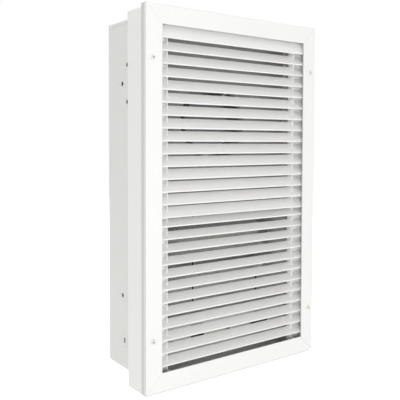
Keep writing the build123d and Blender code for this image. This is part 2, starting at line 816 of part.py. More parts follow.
def control_panel():
    """Black panel over the wiring space, with a shelf that keeps the warm air off the wiring."""
    half_x = box_inner_x - deck_side_gap
    low_z = -box_inner_z + deck_side_gap
    panel = block((-half_x, half_x), (control_y, control_back_y), (low_z, control_top_z))
    flange_y = (control_y, control_y + control_flange)
    panel += block((-half_x, half_x), flange_y, (low_z, low_z + control_sheet))
    shelf_y = (control_y, box_inner_y - control_shelf_gap - box_sheet)
    panel += block((-half_x, half_x), shelf_y, (control_top_z - control_sheet, control_top_z))
    stem_hole = thermostat_stem_radius + panel_hole_clearance
    panel -= rod_y(thermostat_x, control_z, stem_hole, control_y, control_back_y)
    button_hole = button_radius + panel_hole_clearance
    panel -= rod_y(cutout_x, control_z, button_hole, control_y, control_back_y)
    panel -= switch_body_block(control_y, control_back_y, panel_hole_clearance / 2)
    for x in (-element_pin_x, 0, element_pin_x):
        panel -= rod_z(x, wire_rear_y, wire_hole_radius, control_top_z - control_sheet, control_top_z)
    for screw_x in (-cover_screw_x, cover_screw_x):
        y = control_back_y + cover_screw_setback
        panel -= rod_z(screw_x, y, screw_hole_radius, low_z, low_z + control_sheet)
    return panel


def thermostat_body():
    """Thermostat behind the panel, with the bore for its stem."""
    half_width = thermostat_body_width / 2
    half_height = thermostat_body_height / 2
    body = block(
        (thermostat_x - half_width, thermostat_x + half_width),
        (control_back_y, thermostat_back_y),
        (control_z - half_height, control_z + half_height),
    )
    bore = thermostat_stem_radius + stem_clearance
    return body - rod_y(thermostat_x, control_z, bore, control_back_y, control_back_y + thermostat_bore_depth)


def thermostat_knob():
    """Fluted knob and its stem, with a pointer groove."""
    knob_y = (control_y - knob_gap - knob_depth, control_y - knob_gap)
    knob = rod_y(thermostat_x, control_z, knob_radius, *knob_y)
    for index in range(knob_flute_count):
        angle = math.radians((index + 0.5) * 360 / knob_flute_count)
        x = thermostat_x + knob_radius * math.cos(angle)
        z = control_z + knob_radius * math.sin(angle)
        knob -= rod_y(x, z, knob_flute_radius, *knob_y)
    groove_x = (thermostat_x - knob_pointer_width / 2, thermostat_x + knob_pointer_width / 2)
    knob -= block(groove_x, (knob_y[0], knob_y[0] + knob_pointer_depth), (control_z, control_z + knob_radius))
    stem_end = control_back_y + thermostat_bore_depth - knob_gap
    return knob + rod_y(thermostat_x, control_z, thermostat_stem_radius, knob_y[1], stem_end)


def cutout_body():
    """Thermal cut-out behind the panel, with ears and the bore for its reset button."""
    body = rod_y(cutout_x, control_z, cutout_radius, control_back_y, cutout_back_y)
    body += block(
        (cutout_x - cutout_ear_width / 2, cutout_x + cutout_ear_width / 2),
        (control_back_y, control_back_y + cutout_ear_sheet),
        (control_z - cutout_ear_height / 2, control_z + cutout_ear_height / 2),
    )
    bore_end = control_y - button_stand + button_length + button_travel + knob_gap
    return body - rod_y(cutout_x, control_z, button_radius + button_clearance, control_back_y, bore_end)


def reset_button():
    """Round button that stands out of the panel until it is pressed."""
    start = control_y - button_stand
    button = rod_y(cutout_x, control_z, button_radius, start, start + button_length)
    tip = button.edges().filter_by(GeomType.CIRCLE).sort_by(Axis.Y)[0]
    return fillet(tip, button_tip_radius)


def switch_body_block(low_y, high_y, margin):
    """The switch's body as a plain block, or its cut-out in the panel with a margin."""
    half_width = switch_body_width / 2 + margin
    half_height = switch_body_height / 2 + margin
    x = (switch_x - half_width, switch_x + half_width)
    return block(x, (low_y, high_y), (control_z - half_height, control_z + half_height))


def switch_body():
    """Rocker switch housing with its bezel, the well for the rocker and the pivot holes."""
    bezel_y = control_y - switch_bezel_depth
    bezel = block(
        (switch_x - switch_bezel_width / 2, switch_x + switch_bezel_width / 2),
        (bezel_y, control_y),
        (control_z - switch_bezel_height / 2, control_z + switch_bezel_height / 2),
    )
    body = bezel + switch_body_block(control_y, switch_back_y, 0)
    half_width = switch_well_width / 2
    body -= block(
        (switch_x - half_width, switch_x + half_width),
        (bezel_y, bezel_y + switch_well_depth),
        (control_z - switch_well_height / 2, control_z + switch_well_height / 2),
    )
    reach = half_width + switch_pin_reach + rocker_side_gap
    hole = switch_pin_radius + switch_pin_clearance
    return body - rod_x(pivot_y, control_z, hole, switch_x - reach, switch_x + reach)


def switch_rocker():
    """Two-faced rocker with its pivot pins, lying in its on position."""
    half_width = switch_well_width / 2 - rocker_side_gap
    half_height = switch_well_height / 2 - rocker_end_gap
    bezel_y = control_y - switch_bezel_depth
    face_y = bezel_y - rocker_stand
    wing = half_height * math.tan(math.radians(rocker_tilt))
    section = polygon([
        (face_y - wing / 2, control_z - half_height),
        (face_y + wing / 2, control_z),
        (face_y - wing / 2, control_z + half_height),
        (pivot_y, control_z + half_height),
        (pivot_y + rocker_keel_depth, control_z),
        (pivot_y, control_z - half_height),
    ])
    rocker = prism_x(section, switch_x - half_width, switch_x + half_width)
    reach = switch_well_width / 2 + switch_pin_reach
    rocker += rod_x(pivot_y, control_z, switch_pin_radius, switch_x - reach, switch_x + reach)
    return rocker.rotate(Axis((switch_x, pivot_y, control_z), (1, 0, 0)), rocker_tilt)


def terminal_way_x(index):
    """Middle of one way of the terminal block."""
    return terminal_x + (index + 0.5 - terminal_ways / 2) * terminal_width / terminal_ways


def terminal_block():
    """Terminal block on the back of the box, with two wells in each way and fences between."""
    low_x, high_x = terminal_x - terminal_width / 2, terminal_x + terminal_width / 2
    z = (control_z - terminal_height / 2, control_z + terminal_height / 2)
    base = block((low_x, high_x), (terminal_front_y, box_inner_y), z)
    fence_y = (terminal_front_y - terminal_fence_depth, terminal_front_y)
    fence_step = (terminal_width - terminal_fence_sheet) / terminal_ways
    for index in range(terminal_ways + 1):
        x = low_x + index * fence_step
        base += block((x, x + terminal_fence_sheet), fence_y, z)
    for index in range(terminal_ways):
        for row in (-wire_row, wire_row):
            base -= rod_y(terminal_way_x(index), control_z + row, terminal_well_radius,
                          terminal_front_y, terminal_front_y + terminal_well_depth)
    return base


def cable_clamp():
    """Cable connector in the bottom of the box: collar and thread in one piece, and its nut."""
    nut_z = (-box_inner_z, -box_inner_z + clamp_nut_depth)
    thread_top = nut_z[1] + clamp_thread_above_nut
    collar_z = (-box_half_z - clamp_collar_depth, -box_half_z)
    body = rod_z(clamp_x, clamp_y, clamp_collar_radius, *collar_z)
    body += rod_z(clamp_x, clamp_y, clamp_thread_radius, -box_half_z, thread_top)
    body -= rod_z(clamp_x, clamp_y, clamp_bore_radius, collar_z[0], thread_top)
    plate = Pos(clamp_x, clamp_y, nut_z[0]) * RegularPolygon(clamp_nut_flats / 2, 6, major_radius=False)
    nut = extrude(plate, amount=clamp_nut_depth, dir=(0, 0, 1))
    nut -= rod_z(clamp_x, clamp_y, clamp_thread_radius + screw_tap_clearance, *nut_z)
    return [body, nut]


# Screws


def pan_head_screw(length):
    """Cross slotted pan head screw: head below the origin along -Z, shank along +Z."""
    head = Pos(0, 0, -screw_head_depth / 2) * Cylinder(screw_head_radius, screw_head_depth)
    head = fillet(head.edges().filter_by(GeomType.CIRCLE).sort_by(Axis.Z)[0], screw_head_dome)
    drive = Pos(0, 0, -screw_head_depth + screw_drive_depth / 2)
    head -= drive * Box(screw_drive_length, screw_drive_width, screw_drive_depth)
    head -= drive * Box(screw_drive_width, screw_drive_length, screw_drive_depth)
    return head + Pos(0, 0, length / 2) * Cylinder(screw_radius, length)


def panel_screws():
    """Every screw of the casing: grille, box flange, fan deck, control panel and motor."""
    into_wall = Rot(-90, 0, 0)
    grille_screw = into_wall * pan_head_screw(grille_screw_length)
    flange_screw = into_wall * pan_head_screw(box_sheet + sleeve_sheet)
    motor_screw = into_wall * pan_head_screw(stator_flange_depth + box_sheet)
    deck_screw = pan_head_screw(deck_sheet + deck_side_gap + box_sheet)
    panel_screw = Rot(180, 0, 0) * pan_head_screw(control_sheet + deck_side_gap + box_sheet)
    screws = []
    for x in (-grille_screw_x, grille_screw_x):
        for z in (-grille_screw_z, grille_screw_z):
            screws.append(Pos(x, front_y, z) * grille_screw)
    for x in (-flange_screw_x(), flange_screw_x()):
        for z in (-flange_screw_z, flange_screw_z):
            screws.append(Pos(x, box_flange_y, z) * flange_screw)
    for x, z in motor_screw_places():
        screws.append(Pos(x, stator_flange_y, z) * motor_screw)
    deck_top = box_inner_z - deck_side_gap - deck_sheet
    panel_low = -box_inner_z + deck_side_gap + control_sheet
    for x in (-cover_screw_x, cover_screw_x):
        screws.append(Pos(x, deck_back_y + cover_screw_setback, deck_top) * deck_screw)
        screws.append(Pos(x, control_back_y + cover_screw_setback, panel_low) * panel_screw)
    return screws


# Wiring


def wire(points):
    """Insulated lead along straight runs joined by round bends."""
    path = FilletPolyline(*points, radius=wire_bend_radius)
    start = Plane(origin=path @ 0, z_dir=path % 0)
    return sweep(start * Circle(wire_radius), path=path)


def wiring_leads():
    """Leads from the terminal block through the controls to the motor and the elements."""
    upper_z = control_z + wire_row
    lower_z = control_z - wire_row
    well_y = terminal_front_y + terminal_well_depth
    pin_back_y = element_y + element_pin_radius
    places = element_places()
    switch_low_x, switch_high_x = switch_x - switch_tab, switch_x + switch_tab
    thermostat_low_x, thermostat_high_x = thermostat_x - thermostat_tab, thermostat_x + thermostat_tab
    first_x, last_x = terminal_way_x(0), terminal_way_x(terminal_ways - 1)
    routes = {
        "terminal to switch": [
            (last_x, well_y, upper_z),
            (last_x, wire_front_y, upper_z),
            (switch_low_x, wire_front_y, upper_z),
            (switch_low_x, switch_back_y, upper_z),
        ],
        "switch to cut-out": [
            (switch_high_x, switch_back_y, upper_z),
            (switch_high_x, wire_front_y, upper_z),
            (cutout_x, wire_front_y, upper_z),
            (cutout_x, cutout_back_y, upper_z),
        ],
        "cut-out to thermostat": [
            (cutout_x, cutout_back_y, lower_z),
            (cutout_x, wire_front_y, lower_z),
            (thermostat_low_x, wire_front_y, lower_z),
            (thermostat_low_x, thermostat_back_y, lower_z),
        ],
        "thermostat to last element": [
            (thermostat_high_x, thermostat_back_y, lower_z),
            (thermostat_high_x, wire_rear_y, lower_z),
            (element_pin_x, wire_rear_y, lower_z),
            (element_pin_x, wire_rear_y, places[-1]),
            (element_pin_x, pin_back_y, places[-1]),
        ],
        "terminal to first element": [
            (first_x, well_y, upper_z),
            (first_x, wire_front_y, upper_z),
            (-element_pin_x, wire_front_y, upper_z),
            (-element_pin_x, wire_rear_y, upper_z),
            (-element_pin_x, wire_rear_y, places[0]),
            (-element_pin_x, pin_back_y, places[0]),
        ],
        "switch to motor": [
            (switch_high_x, switch_back_y, lower_z),
            (switch_high_x, wire_rear_y, lower_z),
            (0, wire_rear_y, lower_z),
            (0, wire_rear_y, fan_z - stator_tube_radius),
        ],
    }
    return [wire(points) for points in routes.values()] + element_links()


def element_links():
    """Short links that join the rods in series, at the right end and the left end by turns."""
    places = element_places()
    links = []
    for index in range(element_count - 1):
        x = element_pin_x * (-1) ** index
        high_z = places[index] - element_pin_radius
        low_z = places[index + 1] + element_pin_radius
        links.append(rod_z(x, element_y, wire_radius, low_z, high_z))
    return links


# Every piece of the heater under its name

ring = frame_ring()
sections = blades()
side_of_sleeve = sleeve_side()
side_of_box = box_side()
bracket = element_bracket()

pieces = {
    "frame_top_rail": ring & mitre("top"),
    "frame_bottom_rail": ring & mitre("bottom"),
    "frame_left_rail": ring & mitre("left"),
    "frame_right_rail": ring & mitre("right"),
    "frame_corner_keys": corner_keys(),
    "blade_end_plates": end_plates(sections),
    "sleeve_top": sleeve_end(sleeve_top_z, -1),
    "sleeve_bottom": sleeve_end(sleeve_bottom_z, 1),
    "sleeve_left": mirror_x(side_of_sleeve),
    "sleeve_right": side_of_sleeve,
    "box_back": box_back(),
    "box_left_side": mirror_x(side_of_box),
    "box_right_side": side_of_box,
    "box_top": box_top(),
    "box_bottom": box_bottom(),
    "fan_deck": fan_deck(),
    "control_panel": control_panel(),
    "motor_stator": motor_stator(),
    "motor_bearings": motor_bearings(),
    "motor_rotor": motor_rotor(),
    "fan_wheel": fan_wheel(),
    "heating_elements": [heating_element(z) for z in element_places()],
    "element_brackets": [bracket, mirror_x(bracket)],
    "thermostat_body": thermostat_body(),
    "thermostat_knob": thermostat_knob(),
    "cutout_body": cutout_body(),
    "reset_button": reset_button(),
    "switch_body": switch_body(),
    "switch_rocker": switch_rocker(),
    "terminal_block": terminal_block(),
    "cable_clamp": cable_clamp(),
    "panel_screws": panel_screws(),
    "wiring_leads": wiring_leads(),
}
for name, section in sections.items():
    pieces[name] = blade(section)

os.makedirs("parts", exist_ok=True)
for name, piece in pieces.items():
    shape = Compound(children=piece) if isinstance(piece, list) else piece
    shape.label = name
    export_step(shape, f"parts/{name}.step")
print(len(pieces), "pieces written")
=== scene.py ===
import math

import bpy
import numpy as np
from mathutils import Euler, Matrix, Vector


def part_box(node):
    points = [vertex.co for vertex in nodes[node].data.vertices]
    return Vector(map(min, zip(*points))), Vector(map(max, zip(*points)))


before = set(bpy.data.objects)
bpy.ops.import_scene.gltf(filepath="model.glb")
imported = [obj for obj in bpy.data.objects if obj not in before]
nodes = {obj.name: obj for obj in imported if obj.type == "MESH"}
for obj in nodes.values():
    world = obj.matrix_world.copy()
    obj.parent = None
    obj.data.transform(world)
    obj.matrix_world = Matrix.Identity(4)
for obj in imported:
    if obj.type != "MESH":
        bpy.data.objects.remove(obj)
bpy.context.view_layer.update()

MM = 0.001

# The photograph's camera, fitted to the frame's corners, the sleeve and the box
CAMERA_PLACE = Vector((-610.3, -878.8, 85.1)) * MM
CAMERA_YAW = -35.83
CAMERA_PITCH = -2.25
CAMERA_ROLL = 0.16
CAMERA_LENS = 53.5
CAMERA_SENSOR = 36.0
CAMERA_SHIFT_Y = -0.085

# Light: each lamp's name, place and side in metres, and power in watts
LAMPS = (
    ("camera_softbox", (-1.45, -2.15, -0.1), 0.7, 21),
    ("back_fill", (1.8, 1.9, 1.0), 1.6, 16),
)
LAMP_TARGET = Vector((0, -0.08, 0))
WHITE = (1, 1, 1, 1)
ROOM_COLOR = (1.0, 0.995, 0.975, 1)
ROOM_LIGHT = 0.825
CEILING_LOSS = -0.235

# Floor, in metres
FLOOR_HALF = 4.0
FLOOR_HEIGHT = -0.42
FLOOR_PAINT = (0.97, 0.97, 0.97, 1)
FLOOR_ROUGHNESS = 0.9
FLOOR_SHINE = 0.1
FLOOR_GLOW = 0.7

# Textures: scales per metre, noise detail, heights, and how far each one sways the tone or the gloss
PAINT_GRAIN = 900.0
PAINT_GRAIN_DETAIL = 3
PAINT_GRAIN_HEIGHT = 0.2 * MM
PAINT_MOTTLE = 14.0
PAINT_MOTTLE_DETAIL = 2
PAINT_GLOSS_SWAY = 0.12
PLASTIC_MOTTLE = 0.08
PLASTIC_BUMP = 0.25
SPANGLE = 60.0
SPANGLE_ROUGHNESS = 0.32
SPANGLE_GLOSS_SWAY = 0.2
ZINC_METALLIC = 0.85
BRUSH_STRETCH = (900.0, 40.0, 900.0)
BRUSH_DETAIL = 4
BRUSH_HEIGHT = 0.1 * MM
BRUSH_BUMP = 0.15
BRUSH_DARKEST = 0.85
BRUSH_TONE_SWAY = 0.3
BRUSH_GLOSS_SWAY = 0.18
STEEL_METALLIC = 0.9
DUST_SCALE = 35.0
DUST_DETAIL = 5

# Marks: a tone is the share of the paint's brightness that the mark takes or gives
SEAM_WIDTH = 0.3 * MM
SEAM_TONE = 0.35
# Painted shade on the frame's faces that turn away from the front
RETURN_PAINTED_SHADE = 0.34
# Painted highlight: a line along a hem where the flanges' painted shade is lessened
HEM_DEPTH = 3.4 * MM
HEM_WIDTH = 1.8 * MM
HEM_PAINTED_HIGHLIGHT = 0.22
WELD_PITCH = 62 * MM
WELD_FROM_EDGE = 6 * MM
WELD_RADIUS = 2.6 * MM
WELD_RIM = 0.9 * MM
WELD_TONE = 0.12
# Painted shade in a band at the floor of the grille screws' slots
SLOT_FLOOR = 1.2 * MM
SLOT_SHADE_BAND = 0.25 * MM
SLOT_SHADE_TONE = 0.75

# Paint of all the wall box's sheets
BOX_PAINT = {"color": (0.74, 0.74, 0.73), "roughness": 0.42, "mottle": 0.025, "dust": 0.08, "grain": 0.16}

# Kinds of socket on the shared effects
COLOR = "NodeSocketColor"
NUMBER = "NodeSocketFloat"


# Camera and lights


def camera():
    """Camera at the photograph's angle; the shift holds the level view that the photograph's crop has."""
    lens = bpy.data.cameras.new("photo_camera")
    lens.lens = CAMERA_LENS
    lens.sensor_width = CAMERA_SENSOR
    lens.shift_y = CAMERA_SHIFT_Y
    lens.clip_start = 0.01
    holder = bpy.data.objects.new("photo_camera", lens)
    holder.location = CAMERA_PLACE
    turned = Euler((math.radians(90 + CAMERA_PITCH), 0, math.radians(CAMERA_YAW)), "XYZ").to_matrix()
    rolled = Euler((0, 0, math.radians(CAMERA_ROLL)), "XYZ").to_matrix()
    holder.rotation_euler = (turned @ rolled).to_euler()
    bpy.context.scene.collection.objects.link(holder)
    bpy.context.scene.camera = holder


def lamp(name, place, side, power):
    """Square soft lamp that faces the heater."""
    light = bpy.data.lights.new(name, "AREA")
    light.shape = "SQUARE"
    light.size = side
    light.energy = power
    holder = bpy.data.objects.new(name, light)
    holder.location = place
    aim = LAMP_TARGET - Vector(place)
    holder.rotation_euler = aim.to_track_quat("-Z", "Y").to_euler()
    bpy.context.scene.collection.objects.link(holder)


def studio():
    """Soft room: one large lamp beside the camera, a weak one behind and a pale world, duller overhead."""
    for name, place, side, power in LAMPS:
        lamp(name, place, side, power)
    world = bpy.data.worlds.new("studio")
    bpy.context.scene.world = world
    world.use_nodes = True
    tree = world.node_tree
    tree.nodes.clear()
    output = tree.nodes.new("ShaderNodeOutputWorld")
    room = tree.nodes.new("ShaderNodeBackground")
    room.inputs["Color"].default_value = ROOM_COLOR
    towards = split_xyz(tree, tree.nodes.new("ShaderNodeTexCoord").outputs["Generated"])
    overhead = math_node(tree, "MAXIMUM", towards["Z"], 0.0)
    light = math_node(tree, "MULTIPLY_ADD", overhead, CEILING_LOSS, ROOM_LIGHT)
    tree.links.new(light, room.inputs["Strength"])
    seen = tree.nodes.new("ShaderNodeBackground")
    seen.inputs["Color"].default_value = WHITE
    seen.inputs["Strength"].default_value = 1.0
    mix = tree.nodes.new("ShaderNodeMixShader")
    tree.links.new(seen_directly(tree), mix.inputs["Fac"])
    tree.links.new(room.outputs[0], mix.inputs[1])
    tree.links.new(seen.outputs[0], mix.inputs[2])
    tree.links.new(mix.outputs[0], output.inputs["Surface"])


def seen_directly(tree):
    """1 for what the camera sees straight, in a reflection or through glass, and 0 for light on a surface."""
    path = tree.nodes.new("ShaderNodeLightPath")
    reflected = math_node(tree, "MAXIMUM", path.outputs["Is Glossy Ray"], path.outputs["Is Transmission Ray"])
    return math_node(tree, "MAXIMUM", path.outputs["Is Camera Ray"], reflected)


def floor():
    """Plain pale floor, well below the heater, which hangs on a wall."""
    corners = np.array([[-1, -1], [1, -1], [1, 1], [-1, 1]]) * FLOOR_HALF
    points = np.column_stack([corners, np.full(len(corners), FLOOR_HEIGHT)])
    mesh = bpy.data.meshes.new("floor")
    mesh.from_pydata(points.tolist(), [], [[0, 1, 2, 3]])
    plane = bpy.data.objects.new("floor", mesh)
    bpy.context.scene.collection.objects.link(plane)
    plane.data.materials.append(floor_material())


def floor_material():
    """Matt near-white that still takes the heater's shadow."""
    material, shader = fresh_material("floor_white")
    shader.inputs["Base Color"].default_value = FLOOR_PAINT
    shader.inputs["Roughness"].default_value = FLOOR_ROUGHNESS
    shader.inputs["Specular IOR Level"].default_value = FLOOR_SHINE
    tree = material.node_tree
    output = first_node(tree, "OUTPUT_MATERIAL")
    white = tree.nodes.new("ShaderNodeEmission")
    white.inputs["Color"].default_value = WHITE
    glow = math_node(tree, "MULTIPLY", seen_directly(tree), FLOOR_GLOW)
    tree.links.new(glow, white.inputs["Strength"])
    both = tree.nodes.new("ShaderNodeAddShader")
    tree.links.new(shader.outputs[0], both.inputs[0])
    tree.links.new(white.outputs[0], both.inputs[1])
    tree.links.new(both.outputs[0], output.inputs["Surface"])
    return material


# Shared effects


def new_group(name, inputs, outputs):
    """Empty shader group with named (name, kind, value) inputs and (name, kind) outputs."""
    group = bpy.data.node_groups.new(name, "ShaderNodeTree")
    for label, kind, value in inputs:
        socket = group.interface.new_socket(label, in_out="INPUT", socket_type=kind)
        socket.default_value = value
    for label, kind in outputs:
        group.interface.new_socket(label, in_out="OUTPUT", socket_type=kind)
    return group, group.nodes.new("NodeGroupInput"), group.nodes.new("NodeGroupOutput")


def powder_coat_group():
    """Sprayed enamel: a fine orange-peel height, and slow mottling of the colour and gloss."""
    group, given, result = new_group(
        "powder_coat",
        [("Color", COLOR, (0.9, 0.9, 0.9, 1)), ("Grain", NUMBER, PAINT_GRAIN),
         ("Mottle", NUMBER, 0.03), ("Roughness", NUMBER, 0.4)],
        [("Color", COLOR), ("Roughness", NUMBER), ("Height", NUMBER)],
    )
    peel = noise(group, object_place(group), given.outputs["Grain"], PAINT_GRAIN_DETAIL)
    slow = noise(group, object_place(group), PAINT_MOTTLE, PAINT_MOTTLE_DETAIL)
    depth = math_node(group, "MULTIPLY", slow, given.outputs["Mottle"])
    bright = math_node(group, "SUBTRACT", 1.0, depth)
    group.links.new(scaled_color(group, given.outputs["Color"], bright), result.inputs["Color"])
    sway = math_node(group, "MULTIPLY", slow, PAINT_GLOSS_SWAY)
    group.links.new(math_node(group, "ADD", given.outputs["Roughness"], sway), result.inputs["Roughness"])
    group.links.new(peel, result.inputs["Height"])
    return group


def spangle_group():
    """Zinc spangle: flat crystals of slightly different greys."""
    group, given, result = new_group(
        "zinc_spangle",
        [("Light", COLOR, (0.74, 0.75, 0.76, 1)), ("Dark", COLOR, (0.56, 0.57, 0.58, 1)),
         ("Scale", NUMBER, SPANGLE)],
        [("Color", COLOR), ("Roughness", NUMBER)],
    )
    cells = group.nodes.new("ShaderNodeTexVoronoi")
    group.links.new(object_place(group), cells.inputs["Vector"])
    group.links.new(given.outputs["Scale"], cells.inputs["Scale"])
    split = group.nodes.new("ShaderNodeSeparateColor")
    group.links.new(cells.outputs["Color"], split.inputs["Color"])
    grey = mixed_color(group, split.outputs[0], given.outputs["Dark"], given.outputs["Light"])
    group.links.new(grey, result.inputs["Color"])
    rough = math_node(group, "MULTIPLY_ADD", split.outputs[1], SPANGLE_GLOSS_SWAY, SPANGLE_ROUGHNESS)
    group.links.new(rough, result.inputs["Roughness"])
    return group


def brushed_group():
    """Rolled or turned metal: long fine streaks in colour, gloss and height."""
    group, given, result = new_group(
        "brushed_metal",
        [("Color", COLOR, (0.5, 0.5, 0.5, 1)), ("Roughness", NUMBER, 0.3)],
        [("Color", COLOR), ("Roughness", NUMBER), ("Height", NUMBER)],
    )
    stretch = group.nodes.new("ShaderNodeMapping")
    stretch.inputs["Scale"].default_value = BRUSH_STRETCH
    group.links.new(object_place(group), stretch.inputs["Vector"])
    streaks = noise(group, stretch.outputs[0], 1.0, BRUSH_DETAIL)
    bright = math_node(group, "MULTIPLY_ADD", streaks, BRUSH_TONE_SWAY, BRUSH_DARKEST)
    group.links.new(scaled_color(group, given.outputs["Color"], bright), result.inputs["Color"])
    sway = math_node(group, "MULTIPLY", streaks, BRUSH_GLOSS_SWAY)
    group.links.new(math_node(group, "ADD", given.outputs["Roughness"], sway), result.inputs["Roughness"])
    group.links.new(streaks, result.inputs["Height"])
    return group


def dust_group():
    """Settled dust: patchy, and thicker on faces that look upwards."""
    group, given, result = new_group(
        "settled_dust",
        [("Color", COLOR, (0.5, 0.5, 0.5, 1)), ("Dust", COLOR, (0.55, 0.53, 0.5, 1)),
         ("Amount", NUMBER, 0.1)],
        [("Color", COLOR)],
    )
    patches = noise(group, object_place(group), DUST_SCALE, DUST_DETAIL)
    upward = math_node(group, "MULTIPLY_ADD", surface_normal(group)["Z"], 0.5, 0.5)
    patchy = math_node(group, "MULTIPLY", patches, upward)
    amount = math_node(group, "MULTIPLY", patchy, given.outputs["Amount"])
    dusty = mixed_color(group, amount, given.outputs["Color"], given.outputs["Dust"])
    group.links.new(dusty, result.inputs["Color"])
    return group


def mitre_group():
    """Mask of the thin line where two rails meet, on the diagonals outwards from the opening's corners."""
    group, given, result = new_group(
        "mitre_seam",
        [("Half Width", NUMBER, 0.1), ("Half Height", NUMBER, 0.1)],
        [("Mask", NUMBER)],
    )
    place = split_xyz(group, object_place(group))
    across = math_node(group, "ABSOLUTE", place["X"])
    up = math_node(group, "ABSOLUTE", place["Z"])
    past_side = math_node(group, "SUBTRACT", across, given.outputs["Half Width"])
    past_top = math_node(group, "SUBTRACT", up, given.outputs["Half Height"])
    apart = math_node(group, "SUBTRACT", past_side, past_top)
    group.links.new(line_mask(group, apart, SEAM_WIDTH), result.inputs["Mask"])
    return group


def painted_return_shade_group():
    """Mask of painted shade on faces that turn away from the front, as the return flanges do, and a paler
    painted highlight line along a hem.
    """
    group, given, result = new_group(
        "painted_return_shade",
        [("Front", NUMBER, -0.14)],
        [("Mask", NUMBER), ("Hem Highlight", NUMBER)],
    )
    facing = math_node(group, "ABSOLUTE", surface_normal(group)["Y"])
    turned = math_node(group, "SUBTRACT", 1.0, facing)
    group.links.new(turned, result.inputs["Mask"])
    place = split_xyz(group, object_place(group))
    depth = math_node(group, "SUBTRACT", place["Y"], given.outputs["Front"])
    off = math_node(group, "SUBTRACT", depth, HEM_DEPTH)
    # Painted highlight along the hem, on the turned faces only
    hem = math_node(group, "MULTIPLY", line_mask(group, off, HEM_WIDTH), turned)
    group.links.new(hem, result.inputs["Hem Highlight"])
    return group


def weld_group():
    """Mask of spot weld rims: rings at an even pitch along Z, in a row near each side edge."""
    group, given, result = new_group("spot_welds", [("Row", NUMBER, 0.1)], [("Rim", NUMBER)])
    place = split_xyz(group, object_place(group))
    outward = math_node(group, "ABSOLUTE", place["X"])
    across = math_node(group, "SUBTRACT", outward, given.outputs["Row"])
    along = math_node(group, "PINGPONG", place["Z"], WELD_PITCH / 2)
    squares = math_node(group, "MULTIPLY_ADD", across, across, math_node(group, "POWER", along, 2.0))
    off = math_node(group, "SUBTRACT", math_node(group, "SQRT", squares), WELD_RADIUS)
    group.links.new(line_mask(group, off, WELD_RIM), result.inputs["Rim"])
    return group


def feed(tree, value, socket):
    """A number put in a socket, or another node's output linked to it."""
    if isinstance(value, (int, float)):
        socket.default_value = value
    else:
        tree.links.new(value, socket)


def math_node(tree, operation, *values):
    """Math node with each value a number or the output of another node; gives its own output."""
    node = tree.nodes.new("ShaderNodeMath")
    node.operation = operation
    for index, value in enumerate(values):
        feed(tree, value, node.inputs[index])
    return node.outputs[0]


def noise(tree, vector, scale, detail):
    """Noise over a vector, with its scale a number or the output of another node."""
    node = tree.nodes.new("ShaderNodeTexNoise")
    tree.links.new(vector, node.inputs["Vector"])
    feed(tree, scale, node.inputs["Scale"])
    node.inputs["Detail"].default_value = detail
    return node.outputs["Fac"]


def line_mask(tree, distance, width):
    """1 where a distance is zero, down to 0 at the width on both sides."""
    off = math_node(tree, "ABSOLUTE", distance)
    near = math_node(tree, "SUBTRACT", 1.0, math_node(tree, "DIVIDE", off, width))
    return math_node(tree, "MAXIMUM", near, 0.0)


def split_xyz(tree, vector):
    """The X, Y and Z outputs of a vector."""
    node = tree.nodes.new("ShaderNodeSeparateXYZ")
    tree.links.new(vector, node.inputs[0])
    return node.outputs


def object_place(tree):
    """The place on the object, in metres."""
    return tree.nodes.new("ShaderNodeTexCoord").outputs["Object"]


def surface_normal(tree):
    """The X, Y and Z outputs of the surface's normal."""
    return split_xyz(tree, tree.nodes.new("ShaderNodeNewGeometry").outputs["Normal"])


def scaled_color(tree, color, factor):
    """A colour made brighter or darker by a factor."""
    node = tree.nodes.new("ShaderNodeVectorMath")
    node.operation = "SCALE"
    tree.links.new(color, node.inputs[0])
    tree.links.new(factor, node.inputs["Scale"])
    return node.outputs[0]


def mixed_color(tree, amount, first, second):
    """Two colours mixed: all of the first at 0 and all of the second at 1."""
    mix = tree.nodes.new("ShaderNodeMix")
    mix.data_type = "RGBA"
    tree.links.new(amount, mix.inputs["Factor"])
    tree.links.new(first, mix.inputs["A"])
    tree.links.new(second, mix.inputs["B"])
    return mix.outputs["Result"]


# Materials


def first_node(tree, kind):
    """The tree's first node of a kind."""
    return next(node for node in tree.nodes if node.type == kind)


def fresh_material(name):
    """Material with a Principled BSDF, and that shader."""
    material = bpy.data.materials.new(name)
    material.use_nodes = True
    return material, first_node(material.node_tree, "BSDF_PRINCIPLED")


def placed(material, group):
    """A group put into a material."""
    node = material.node_tree.nodes.new("ShaderNodeGroup")
    node.node_tree = group
    return node


def bump(material, shader, height, strength, distance):
    """Height of a surface given to the shader's normal."""
    tree = material.node_tree
    node = tree.nodes.new("ShaderNodeBump")
    node.inputs["Strength"].default_value = strength
    node.inputs["Distance"].default_value = distance
    tree.links.new(height, node.inputs["Height"])
    tree.links.new(node.outputs["Normal"], shader.inputs["Normal"])


def coated(material, shader, color, roughness, mottle):
    """A sprayed or moulded skin, with its gloss linked to the shader."""
    coat = placed(material, POWDER_COAT)
    coat.inputs["Color"].default_value = (*color, 1)
    coat.inputs["Roughness"].default_value = roughness
    coat.inputs["Mottle"].default_value = mottle
    material.node_tree.links.new(coat.outputs["Roughness"], shader.inputs["Roughness"])
    return coat


def enamel(name, color, roughness, mottle, dust, grain):
    """Sprayed and baked enamel with a little settled dust."""
    material, shader = fresh_material(name)
    links = material.node_tree.links
    coat = coated(material, shader, color, roughness, mottle)
    settled = placed(material, SETTLED_DUST)
    settled.inputs["Amount"].default_value = dust
    links.new(coat.outputs["Color"], settled.inputs["Color"])
    links.new(settled.outputs["Color"], shader.inputs["Base Color"])
    bump(material, shader, coat.outputs["Height"], grain, PAINT_GRAIN_HEIGHT)
    return material


def shaded(material, darkening):
    """The paint made darker by a mask that changes over the surface."""
    tree = material.node_tree
    base = first_node(tree, "BSDF_PRINCIPLED").inputs["Base Color"]
    painted = base.links[0].from_socket
    bright = math_node(tree, "SUBTRACT", 1.0, darkening)
    tree.links.new(scaled_color(tree, painted, bright), base)


